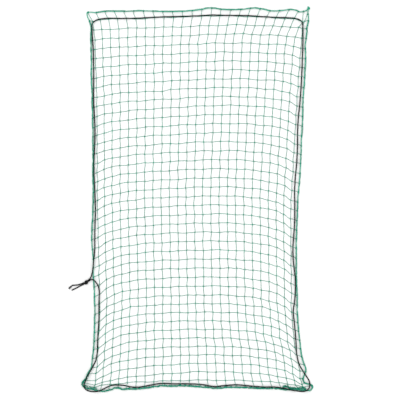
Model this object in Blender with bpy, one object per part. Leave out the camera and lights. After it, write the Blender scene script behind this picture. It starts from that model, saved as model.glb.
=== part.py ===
"""Knotted cargo net with a rope border and a black elastic edge cord, laid out flat.

Metres, +X across the net, +Y along its length, +Z up, underside at z = 0.
The netting, the border rope and the elastic cord are each one continuous thing on the
real net. Here they are parted at three lines across the net, where it folds.
"""
import math

import bmesh
import bpy

# ---- driving dimensions, metres
STRAND_HALF_WIDTH = 0.002
STRAND_HEIGHT = 0.003
BORDER_RADIUS = 0.00275
ELASTIC_RADIUS = 0.003
LAST_COLUMN = 25            # knotted columns 1 to 25, the border ropes are 0 and 26
LAST_ROW = 42               # knotted rows 1 to 42, the border ropes are 0 and 43
FOLD_Y = (0.60, 0.0, -0.60)
OUTER_AXIS_Z = 0.0125       # hinge height of the two outer folds
MIDDLE_AXIS_Z = 0.030       # the middle fold closes over the two outer ones
FOLD_GAP = 0.001
FOLD_KEEP_CLEAR = 0.006     # no knot lies nearer to a fold than this
LEG_TRIM = 0.0045           # a strand ends this far from the border rope's centreline
CORNER_TRIM = 0.0150        # the same for the strand that meets it at a sharp angle
TOUCH_GAP = 0.0003

BORDER_Z = BORDER_RADIUS
ELASTIC_Z = STRAND_HEIGHT + TOUCH_GAP + ELASTIC_RADIUS
ELASTIC_HIGH_Z = 2.0 * BORDER_RADIUS + TOUCH_GAP + ELASTIC_RADIUS

# ---- the net as it lies: (row, value) pairs, read between by straight lines
ROW_CENTRE_Y = ((0, 1.048), (1, 0.994), (2, 0.953), (11, 0.511), (22, -0.035), (32, -0.529),
                (42, -0.998), (43, -1.030))
LEFT_FIRST_X = ((0, -0.601), (1, -0.579), (2, -0.571), (3, -0.565), (10, -0.554), (21, -0.551),
                (32, -0.538), (36, -0.548), (40, -0.562), (41, -0.565), (42, -0.570), (43, -0.583))
RIGHT_LAST_X = ((0, 0.592), (1, 0.590), (2, 0.579), (3, 0.574), (10, 0.547), (21, 0.514),
                (32, 0.519), (36, 0.537), (38, 0.559), (40, 0.568), (42, 0.583), (43, 0.597))
LEFT_DROOP = ((0, 0.0), (1, 0.003), (2, 0.008), (5, 0.012), (11, 0.027), (20, 0.052), (32, 0.090),
              (38, 0.098), (39, 0.080), (40, 0.068), (41, 0.038), (42, 0.024), (43, 0.020))
LEFT_SLOPE = ((0, 0.0), (1, 0.012), (5, 0.019), (11, 0.028), (20, 0.019), (32, 0.009),
              (35, 0.010), (38, 0.017), (40, 0.029), (41, 0.039), (42, 0.016), (43, 0.006))
RIGHT_DROOP = ((0, 0.0), (1, 0.011), (3, 0.018), (11, 0.050), (22, 0.072), (32, 0.094),
               (36, 0.100), (38, 0.098), (40, 0.084), (41, 0.072), (42, 0.040), (43, 0.026))
SIDE_STRAND_DROP = ((1, 0.0), (3, 0.004), (11, 0.010), (32, 0.014), (38, 0.008), (40, 0.001),
                    (41, -0.011), (42, -0.005))
MIDDLE_RISE = ((0, 0.0), (1, 0.008), (3, 0.008), (5, 0.006), (11, 0.007), (22, 0.005), (32, 0.003),
               (43, 0.0))
DROOP_COLUMNS = 2.4         # the droop falls to a third over this many columns
RIGHT_DROOP_COLUMNS = ((0, 1.2), (8, 1.5), (20, 2.4), (28, 2.5), (36, 3.0))
TOP_LEAN = ((0, 0.061), (1, 0.033), (2, 0.022), (3, 0.007), (4, 0.0))
TOP_LAST_X = 0.586          # the last strand that ends on the top border rope
CORNER_STRAND_Y = 1.018     # the one after it ends on the right border rope
RISE_COLUMN = 17.0
RISE_SPREAD = 3.5
EDGE_TAPER = 0.16           # the outermost meshes are this much narrower
UNEVEN = 0.0022             # how far a knot sits off the even grid
FIRST_ROW_BELOW = 0.003     # row 1 lies this far below the middle of the elastic cord

# ---- rope routes, (x, y) or (x, y, z)
BORDER_LEFT = ((-0.6080, 1.0285), (-0.6070, 1.0090), (-0.5930, 0.9770), (-0.5860, 0.9550),
               (-0.5868, 0.9000), (-0.5863, 0.8400), (-0.5845, 0.7800), (-0.5850, 0.7200),
               (-0.5837, 0.6600), (-0.5810, 0.6000), (-0.5793, 0.5400), (-0.5776, 0.4800),
               (-0.5763, 0.4200), (-0.5758, 0.3600), (-0.5754, 0.3000), (-0.5752, 0.2400),
               (-0.5752, 0.1800), (-0.5750, 0.1200), (-0.5744, 0.0600), (-0.5736, 0.0000),
               (-0.5754, -0.0600), (-0.5781, -0.1200), (-0.5807, -0.1800), (-0.5818, -0.2400),
               (-0.5766, -0.3000), (-0.5736, -0.3600), (-0.5738, -0.4200), (-0.5710, -0.4500),
               (-0.5670, -0.5400), (-0.5650, -0.6120), (-0.5670, -0.7200), (-0.5720, -0.8300),
               (-0.5800, -0.8900), (-0.5890, -0.9400), (-0.6030, -0.9600), (-0.6110, -0.9860),
               (-0.6265, -1.0030))
BORDER_RIGHT = ((0.6098, 1.0384), (0.6095, 1.0228), (0.6128, 1.0030), (0.6125, 0.9858),
                (0.6084, 0.9693), (0.6034, 0.9500), (0.6030, 0.9224), (0.5995, 0.9003),
                (0.5995, 0.8837), (0.5950, 0.8589), (0.5945, 0.8340), (0.5964, 0.7986),
                (0.5936, 0.7379), (0.5909, 0.6771), (0.5874, 0.6164),
                (0.5822, 0.5557), (0.5805, 0.4950), (0.5793, 0.4343), (0.5759, 0.3736),
                (0.5723, 0.3129), (0.5707, 0.2521), (0.5682, 0.1914), (0.5648, 0.1307),
                (0.5597, 0.0700), (0.5545, 0.0093), (0.5512, -0.0514), (0.5491, -0.1121),
                (0.5466, -0.1729), (0.5449, -0.2336), (0.5443, -0.2943), (0.5442, -0.3550),
                (0.5448, -0.4157), (0.5467, -0.4764), (0.5492, -0.5371), (0.5493, -0.5979),
                (0.5518, -0.6586), (0.5565, -0.7193), (0.5638, -0.7800), (0.5750, -0.8700),
                (0.5830, -0.9000), (0.5965, -0.9350), (0.5965, -0.9550), (0.5870, -0.9760),
                (0.5807, -0.9930), (0.5826, -1.0015))
BORDER_TOP = ((-0.6095, 1.0350), (-0.5850, 1.0305), (-0.5600, 1.0285), (-0.5100, 1.0350),
              (-0.4270, 1.0355), (-0.3000, 1.0380), (-0.1350, 1.0335), (-0.0410, 1.0380),
              (0.0140, 1.0445), (0.0640, 1.0535), (0.1520, 1.0445), (0.2350, 1.0455),
              (0.3210, 1.0530), (0.3620, 1.0470), (0.4000, 1.0385), (0.4560, 1.0390),
              (0.5110, 1.0450), (0.5390, 1.0425), (0.5660, 1.0320), (0.5900, 1.0360),
              (0.6028, 1.0400))
BORDER_BOTTOM = ((-0.6269, -1.0036), (-0.6350, -1.0150), (-0.6355, -1.0240), (-0.6240, -1.0360),
                 (-0.6040, -1.0440), (-0.5760, -1.0490), (-0.5540, -1.0560), (-0.5160, -1.0585),
                 (-0.4830, -1.0530), (-0.4600, -1.0440), (-0.4330, -1.0425), (-0.4110, -1.0490),
                 (-0.3780, -1.0455), (-0.3450, -1.0475), (-0.2890, -1.0420), (-0.2340, -1.0340),
                 (-0.1790, -1.0290), (-0.1400, -1.0320), (-0.0960, -1.0290), (-0.0410, -1.0310),
                 (0.0420, -1.0370), (0.0970, -1.0430), (0.1690, -1.0380), (0.2350, -1.0385),
                 (0.2900, -1.0410), (0.3730, -1.0440), (0.4390, -1.0450), (0.4700, -1.0490),
                 (0.4950, -1.0510), (0.5220, -1.0500), (0.5550, -1.0495), (0.5850, -1.0520),
                 (0.6085, -1.0560), (0.6225, -1.0530), (0.6320, -1.0445), (0.6354, -1.0345),
                 (0.6290, -1.0260), (0.6150, -1.0222), (0.5980, -1.0175), (0.5870, -1.0093))
ELASTIC_TOP = ((-0.5632, 0.9828), (-0.5560, 0.9870), (-0.5270, 0.9940), (-0.4940, 0.9970),
               (-0.4270, 0.9960), (-0.3450, 0.9970), (-0.2620, 1.0010), (-0.1790, 1.0050),
               (-0.0970, 1.0070), (0.0140, 1.0110), (0.0800, 1.0150), (0.1520, 1.0130),
               (0.2900, 1.0110), (0.3570, 1.0060), (0.4280, 1.0020), (0.4940, 1.0000),
               (0.5390, 0.9960), (0.5660, 0.9870), (0.5755, 0.9780))
ELASTIC_LEFT = ((-0.5640, 0.9822), (-0.5770, 0.9720), (-0.5805, 0.9300), (-0.5775, 0.8690),
                (-0.5734, 0.8080), (-0.5727, 0.7470), (-0.5718, 0.6860), (-0.5720, 0.6250),
                (-0.5726, 0.5640), (-0.5703, 0.5030), (-0.5672, 0.4420), (-0.5651, 0.3810),
                (-0.5654, 0.3200), (-0.5682, 0.2590), (-0.5702, 0.1980), (-0.5698, 0.1370),
                (-0.5670, 0.0760), (-0.5646, 0.0150), (-0.5627, -0.0460), (-0.5635, -0.1070),
                (-0.5657, -0.1680), (-0.5658, -0.2290), (-0.5669, -0.2900), (-0.5700, -0.3250),
                (-0.5735, -0.3600), (-0.5755, -0.3830), (-0.5778, -0.4000))
ELASTIC_LEG_UPPER = ((-0.5782, -0.4013, ELASTIC_HIGH_Z), (-0.5836, -0.4190, ELASTIC_HIGH_Z),
                     (-0.5887, -0.4330, 0.0085), (-0.5935, -0.4400, 0.0080),
                     (-0.5985, -0.4440, 0.0078), (-0.6035, -0.4475, 0.0075))
ELASTIC_LEG_LOWER = ((-0.6010, -0.4535, 0.0075), (-0.5957, -0.4497, 0.0078),
                     (-0.5905, -0.4465, 0.0083), (-0.5830, -0.4440, ELASTIC_HIGH_Z),
                     (-0.5735, -0.4443, ELASTIC_HIGH_Z), (-0.5652, -0.4510, ELASTIC_HIGH_Z),
                     (-0.5550, -0.4655, ELASTIC_HIGH_Z), (-0.5465, -0.4808, ELASTIC_Z + 0.001),
                     (-0.5420, -0.4985, ELASTIC_Z))
ELASTIC_RETURN = ((-0.5418, -0.5000), (-0.5408, -0.5250), (-0.5425, -0.5600), (-0.5430, -0.6000),
                  (-0.5430, -0.6700), (-0.5480, -0.7400), (-0.5510, -0.8100), (-0.5545, -0.8650),
                  (-0.5605, -0.8900), (-0.5710, -0.9130), (-0.5840, -0.9380), (-0.5960, -0.9580),
                  (-0.6070, -0.9780), (-0.6125, -0.9925), (-0.6163, -1.0030))
ELASTIC_RIGHT = ((0.5765, 0.9765), (0.5797, 0.9650), (0.5820, 0.9350), (0.5824, 0.9000),
                 (0.5810, 0.8393), (0.5791, 0.7786), (0.5769, 0.7179), (0.5740, 0.6572),
                 (0.5704, 0.5966), (0.5657, 0.5359), (0.5596, 0.4752), (0.5544, 0.4145),
                 (0.5525, 0.3538), (0.5522, 0.2931), (0.5496, 0.2324), (0.5453, 0.1717),
                 (0.5394, 0.1110), (0.5364, 0.0503), (0.5366, -0.0103), (0.5371, -0.0710),
                 (0.5359, -0.1317), (0.5321, -0.1924), (0.5277, -0.2531), (0.5273, -0.3138),
                 (0.5325, -0.3745), (0.5392, -0.4352), (0.5405, -0.4959), (0.5367, -0.5566),
                 (0.5293, -0.6172), (0.5341, -0.6779), (0.5403, -0.7386), (0.5444, -0.7993),
                 (0.5483, -0.8600), (0.5630, -0.9150), (0.5820, -0.9480), (0.6030, -0.9800),
                 (0.6165, -1.0030))
# height of the cord's long sides, (distance below y = 0, height) pairs, and of its low end,
# (x, height) pairs: it lies higher where it crosses the border rope
ELASTIC_LEFT_HEIGHT = ((0.290, ELASTIC_Z), (0.345, ELASTIC_HIGH_Z))
ELASTIC_RIGHT_HEIGHT = ((0.800, ELASTIC_Z), (0.860, ELASTIC_Z + 0.0005), (0.915, ELASTIC_HIGH_Z))
ELASTIC_RETURN_HEIGHT = ((0.810, ELASTIC_Z), (0.880, ELASTIC_HIGH_Z))
ELASTIC_BOTTOM_HEIGHT = ((-0.505, ELASTIC_HIGH_Z), (-0.470, ELASTIC_Z), (0.450, ELASTIC_Z),
                         (0.480, ELASTIC_HIGH_Z))
ELASTIC_BOTTOM = ((-0.6168, -1.0039), (-0.6225, -1.0180), (-0.6240, -1.0300), (-0.6185, -1.0450),
                  (-0.6055, -1.0565), (-0.5870, -1.0611), (-0.5600, -1.0605), (-0.5400, -1.0560),
                  (-0.5200, -1.0480), (-0.5000, -1.0385), (-0.4800, -1.0300), (-0.4600, -1.0260),
                  (-0.4380, -1.0255), (-0.4000, -1.0285), (-0.3720, -1.0350), (-0.3170, -1.0360),
                  (-0.2620, -1.0265), (-0.2230, -1.0190), (-0.1790, -1.0165), (-0.1350, -1.0185),
                  (-0.0400, -1.0190), (0.0420, -1.0250), (0.0970, -1.0340), (0.1500, -1.0285),
                  (0.2131, -1.0245), (0.2573, -1.0270), (0.2900, -1.0305), (0.3570, -1.0355),
                  (0.4390, -1.0370), (0.4830, -1.0440), (0.5220, -1.0525), (0.5450, -1.0575),
                  (0.5680, -1.0605), (0.5900, -1.0585), (0.6060, -1.0515), (0.6155, -1.0420),
                  (0.6190, -1.0330), (0.6203, -1.0220), (0.6170, -1.0043))

# ---- the knot in the elastic cord and its two free tails
KNOT_CENTRE = (-0.6128, -0.4590, 0.0068)
KNOT_LENGTH = 0.0200
KNOT_RADIUS = 0.0105
KNOT_FLATTENING = 0.64
TAIL_Z = ELASTIC_RADIUS
TAIL_UPPER = ((-0.6245, -0.4610), (-0.634, -0.4650), (-0.645, -0.4690), (-0.657, -0.4725),
              (-0.670, -0.4743), (-0.682, -0.4752), (-0.6905, -0.4768), (-0.6959, -0.4815))
TAIL_LOWER = ((-0.6230, -0.4675), (-0.631, -0.4720), (-0.641, -0.4760), (-0.652, -0.4820),
              (-0.664, -0.4890), (-0.678, -0.4955), (-0.6930, -0.5030))
SLEEVE_START = (-0.6963, -0.48195)
SLEEVE_LENGTH = 0.0180
SLEEVE_RADIUS = 0.0041
SLEEVE_HEADING = (-0.72, -0.694)

# ---- the knot that joins the two ends of the border rope, at the top right corner
BORDER_KNOT_CENTRE = (0.6125, 1.0514, 0.0060)
BORDER_KNOT_LENGTH = 0.0240
BORDER_KNOT_RADIUS = 0.0082

COLOURS = {
    "net_twine": ((0.022, 0.125, 0.082, 1.0), 0.62),
    "border_rope": ((0.016, 0.130, 0.080, 1.0), 0.58),
    "elastic_cord": ((0.010, 0.011, 0.011, 1.0), 0.70),
    "end_sleeve": ((0.016, 0.017, 0.018, 1.0), 0.45),
}


def clear_scene():
    for obj in list(bpy.data.objects):
        bpy.data.objects.remove(obj, do_unlink=True)


def make_materials():
    made = {}
    for name, (colour, roughness) in COLOURS.items():
        material = bpy.data.materials.new(name)
        material.use_nodes = True
        shader = material.node_tree.nodes["Principled BSDF"]
        shader.inputs["Base Color"].default_value = colour
        shader.inputs["Roughness"].default_value = roughness
        shader.inputs["Metallic"].default_value = 0.0
        material.diffuse_color = colour
        made[name] = material
    return made


# ---------------------------------------------------------------- the shape of the net
def read_between(pairs, t):
    if t <= pairs[0][0]:
        return pairs[0][1]
    for (t0, a), (t1, b) in zip(pairs, pairs[1:]):
        if t <= t1:
            return a + (b - a) * (t - t0) / (t1 - t0)
    return pairs[-1][1]


def column_fractions():
    """How far across the netting each column lies, 0 at column 1 and 1 at the last."""
    reach = [0.0]
    for k in range(LAST_COLUMN - 1):
        near_edge = math.exp(-k / 1.5) + math.exp(-(LAST_COLUMN - 2 - k) / 1.5)
        reach.append(reach[-1] + 1.0 - EDGE_TAPER * near_edge)
    return [r / reach[-1] for r in reach]


COLUMN_AT = column_fractions()


def unevenness(u, v):
    """A small fixed offset that differs from knot to knot."""
    a = math.sin(12.99 * u + 78.23 * v)
    b = math.sin(39.35 * u + 11.14 * v + 1.7)
    return UNEVEN * a, UNEVEN * b


def knot_position(u, v):
    """Centre of the knot in column u and row v, both counted from the top left corner."""
    left = read_between(LEFT_FIRST_X, v)
    right = read_between(RIGHT_LAST_X, v)
    x = left + (right - left) * COLUMN_AT[u - 1]
    if u < LAST_COLUMN:
        x += read_between(TOP_LEAN, v) * COLUMN_AT[u - 1]
    y = read_between(ROW_CENTRE_Y, v)
    y -= read_between(LEFT_DROOP, v) * math.exp(-(u - 1) / DROOP_COLUMNS)
    y -= read_between(LEFT_SLOPE, v) * max(0.0, 1.0 - (u - 1) / 12.0)
    reach = read_between(RIGHT_DROOP_COLUMNS, v)
    y -= read_between(RIGHT_DROOP, v) * math.exp(-(LAST_COLUMN - u) / reach)
    y += read_between(MIDDLE_RISE, v) * math.exp(-((u - RISE_COLUMN) / RISE_SPREAD) ** 2)
    if v == 1 and 1 < u < LAST_COLUMN:
        y = read_between(ELASTIC_TOP, x) - FIRST_ROW_BELOW
    if 0 < v <= LAST_ROW:
        dx, dy = unevenness(u, v)
        x += dx
        y += dy
    return x, clear_of_folds(y)


def clear_of_folds(y, side_of=None):
    """Moves y off a fold line, to the side that side_of is on when it is given."""
    for fold in FOLD_Y:
        if side_of is not None and (y - fold) * (side_of - fold) <= 0.0:
            y = fold
        if abs(y - fold) < FOLD_KEEP_CLEAR:
            above = (y if side_of is None else side_of) >= fold
            return fold + FOLD_KEEP_CLEAR if above else fold - FOLD_KEEP_CLEAR
    return y


def smooth_route(points, steps):
    """Points on a smooth curve through the route's points, steps to each span."""
    pts = [tuple(p) if len(p) == 3 else (p[0], p[1], BORDER_Z) for p in points]
    out = [pts[0]]
    for i in range(len(pts) - 1):
        before = pts[max(i - 1, 0)]
        a = pts[i]
        b = pts[i + 1]
        after = pts[min(i + 2, len(pts) - 1)]
        for k in range(1, steps + 1):
            t = k / steps
            out.append(tuple(
                0.5 * (2.0 * a[n] + (b[n] - before[n]) * t
                       + (2.0 * before[n] - 5.0 * a[n] + 4.0 * b[n] - after[n]) * t * t
                       + (3.0 * a[n] - before[n] - 3.0 * b[n] + after[n]) * t ** 3)
                for n in range(3)))
    return out


def at_height(path, y):
    """The point where a route that runs down the net passes the height y."""
    for p, q in zip(path, path[1:]):
        if (p[1] - y) * (q[1] - y) <= 0.0 and p[1] != q[1]:
            t = (y - p[1]) / (q[1] - p[1])
            return tuple(p[n] + (q[n] - p[n]) * t for n in range(3))
    return path[-1]


def at_across(path, x):
    """The point where a route that runs across the net passes x."""
    for p, q in zip(path, path[1:]):
        if (p[0] - x) * (q[0] - x) <= 0.0 and p[0] != q[0]:
            t = (x - p[0]) / (q[0] - p[0])
            return tuple(p[n] + (q[n] - p[n]) * t for n in range(3))
    return path[-1]


def between_folds(path, top, bottom):
    """The stretch of a route between two heights, ending exactly on them."""
    kept = [p for p in path if bottom < p[1] < top]
    if path[0][1] > top:
        kept.insert(0, at_height(path, top))
    if path[-1][1] < bottom:
        kept.append(at_height(path, bottom))
    return kept


# ---------------------------------------------------------------- netting
def build_netting(name, top, bottom, borders):
    """One closed grid of three-sided strands between two heights across the net."""
    mesh = bmesh.new()
    knots = {}
    for v in range(1, LAST_ROW + 1):
        for u in range(1, LAST_COLUMN + 1):
            x, y = knot_position(u, v)
            if bottom < y < top:
                knots[u, v] = (x, y)

    w = STRAND_HALF_WIDTH
    corner_offsets = ((w, w), (-w, w), (-w, -w), (w, -w))
    corners = {}
    apexes = {}
    for key, (x, y) in knots.items():
        corners[key] = [mesh.verts.new((x + dx, y + dy, 0.0)) for dx, dy in corner_offsets]
        apexes[key] = mesh.verts.new((x, y, STRAND_HEIGHT))
        mesh.faces.new(list(reversed(corners[key])))

    # each way out of a knot: column step, row step, and the corners on its left and right
    ways = ((1, 0, 0, 3), (0, -1, 1, 0), (-1, 0, 2, 1), (0, 1, 3, 2))

    def add_strand(left_a, ridge_a, right_a, left_b, ridge_b, right_b):
        mesh.faces.new((left_a, ridge_a, ridge_b, left_b))
        mesh.faces.new((ridge_a, right_a, right_b, ridge_b))
        mesh.faces.new((right_a, left_a, left_b, right_b))

    for (u, v), (x, y) in knots.items():
        own = corners[u, v]
        ridge = apexes[u, v]
        for du, dv, left_i, right_i in ways:
            left = own[left_i]
            right = own[right_i]
            other = (u + du, v + dv)
            if other in knots:
                if du > 0 or dv > 0:
                    # seen from the other knot, its left corner faces this one's right
                    there = corners[other]
                    back_left, back_right = (2, 1) if du > 0 else (1, 0)
                    add_strand(left, ridge, right,
                               there[back_right], apexes[other], there[back_left])
                continue
            target = strand_target(other, y, borders)
            ends = strand_end((x, y), target, (left_i, right_i), corner_offsets, top, bottom)
            tip = [mesh.verts.new(p) for p in ends]
            add_strand(left, ridge, right, tip[0], tip[1], tip[2])
            mesh.faces.new((tip[0], tip[1], tip[2]))

    bmesh.ops.recalc_face_normals(mesh, faces=mesh.faces[:])
    data = bpy.data.meshes.new(name)
    mesh.to_mesh(data)
    mesh.free()
    return data


def strand_target(other, y, borders):
    """Where the strand to a neighbour ends: a knot past a fold, or the border rope."""
    u, v = other
    if 1 <= u <= LAST_COLUMN and 1 <= v <= LAST_ROW:
        x, there = knot_position(u, v)
        return x, there, 0.0
    if u == 0 or u == LAST_COLUMN + 1:
        side = borders["left"] + borders["bottom"][:4]
        if u > 0:
            side = borders["right"] + borders["bottom"][:-6:-1]
        height = clear_of_folds(y - read_between(SIDE_STRAND_DROP, v), side_of=y)
        return at_height(side, height)[0], height, LEG_TRIM
    if (u, v) == (LAST_COLUMN, 0):
        return at_height(borders["right"], CORNER_STRAND_Y)[0], CORNER_STRAND_Y, CORNER_TRIM
    edge = borders["top" if v == 0 else "bottom"]
    x, _ = knot_position(u, v)
    if v == 0:
        x = min(x, TOP_LAST_X)
    return x, at_across(edge, x)[1], LEG_TRIM


def strand_end(start, target, sides, offsets, top, bottom):
    """Left, ridge and right point of a strand's free end, cut at a fold or trimmed."""
    x, y = start
    tx, ty, trim = target
    lines = []
    for corner, lift in ((sides[0], 0.0), (None, STRAND_HEIGHT), (sides[1], 0.0)):
        if corner is None:
            lines.append(((x, y), (tx, ty), lift))
            continue
        a = offsets[corner]
        across = corner_across(sides, corner)
        b = offsets[across]
        lines.append(((x + a[0], y + a[1]), (tx + b[0], ty + b[1]), lift))
    cut = top if ty > top else bottom if ty < bottom else None
    points = []
    if cut is None:
        length = math.hypot(tx - x, ty - y)
        keep = max(0.25, 1.0 - trim / length)
        for (ax, ay), (bx, by), lift in lines:
            points.append((ax + (bx - ax) * keep, ay + (by - ay) * keep, lift))
        return points
    for (ax, ay), (bx, by), lift in lines:
        t = (cut - ay) / (by - ay)
        points.append((ax + (bx - ax) * t, cut, lift))
    return points


def corner_across(sides, corner):
    """The corner of the far knot that faces this one along the strand."""
    if sides in ((0, 3), (2, 1)):
        return {0: 1, 3: 2, 2: 3, 1: 0}[corner]
    return {1: 2, 0: 3, 3: 0, 2: 1}[corner]


# ---------------------------------------------------------------- ropes and knots
def build_rope(name, path, radius, pivot):
    """A round rope along a path, with closed ends."""
    curve = bpy.data.curves.new(name, "CURVE")
    curve.dimensions = "3D"
    curve.bevel_depth = radius
    curve.bevel_resolution = 2
    curve.use_fill_caps = True
    spline = curve.splines.new("POLY")
    spline.points.add(len(path) - 1)
    for point, (x, y, z) in zip(spline.points, path):
        point.co = (x - pivot[0], y - pivot[1], z - pivot[2], 1.0)
    return curve


def build_lump(name, profile, centre, heading, flattening, sides=14):
    """A closed round body turned about a level axis, from (along, radius) pairs."""
    mesh = bmesh.new()
    hx, hy = heading
    size = math.hypot(hx, hy)
    hx /= size
    hy /= size
    rings = []
    for along, radius in profile:
        ring = []
        for k in range(sides):
            angle = 2.0 * math.pi * (k + 0.5) / sides
            out = radius * math.cos(angle)
            up = radius * math.sin(angle) * flattening
            ring.append(mesh.verts.new((centre[0] + hx * along - hy * out,
                                        centre[1] + hy * along + hx * out,
                                        centre[2] + up)))
        rings.append(ring)
    for a, b in zip(rings, rings[1:]):
        for k in range(sides):
            n = (k + 1) % sides
            mesh.faces.new((a[k], a[n], b[n], b[k]))
    mesh.faces.new(list(reversed(rings[0])))
    mesh.faces.new(rings[-1])
    bmesh.ops.recalc_face_normals(mesh, faces=mesh.faces[:])
    for face in mesh.faces:
        face.smooth = True
    data = bpy.data.meshes.new(name)
    mesh.to_mesh(data)
    mesh.free()
    return data


def wrapped_profile(length, radius, turns):
    """Profile of a lump of rope: one bulge for each turn, pulled in at both ends."""
    half = length / 2.0
    profile = [(-half, radius * 0.55)]
    for k in range(turns):
        middle = -half + length * (k + 0.5) / turns
        profile.append((middle, radius))
        if k < turns - 1:
            profile.append((-half + length * (k + 1) / turns, radius * 0.86))
    profile.append((half, radius * 0.55))
    return profile


# ---------------------------------------------------------------- assembly
def place(data, name, material, parent, pivot):
    """Adds an object whose origin is on its parent's joint axis."""
    if isinstance(data, bpy.types.Mesh):
        for vertex in data.vertices:
            vertex.co.x -= pivot[0]
            vertex.co.y -= pivot[1]
            vertex.co.z -= pivot[2]
    obj = bpy.data.objects.new(name, data)
    bpy.context.scene.collection.objects.link(obj)
    data.materials.append(material)
    obj.parent = parent
    return obj


def add_pivot(name, location, parent=None):
    empty = bpy.data.objects.new(name, None)
    empty.empty_display_size = 0.05
    bpy.context.scene.collection.objects.link(empty)
    empty.parent = parent
    base = parent.location if parent else (0.0, 0.0, 0.0)
    if parent and parent.parent:
        base = [base[n] + parent.parent.location[n] for n in range(3)]
    empty.location = [location[n] - base[n] for n in range(3)]
    return empty


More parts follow.
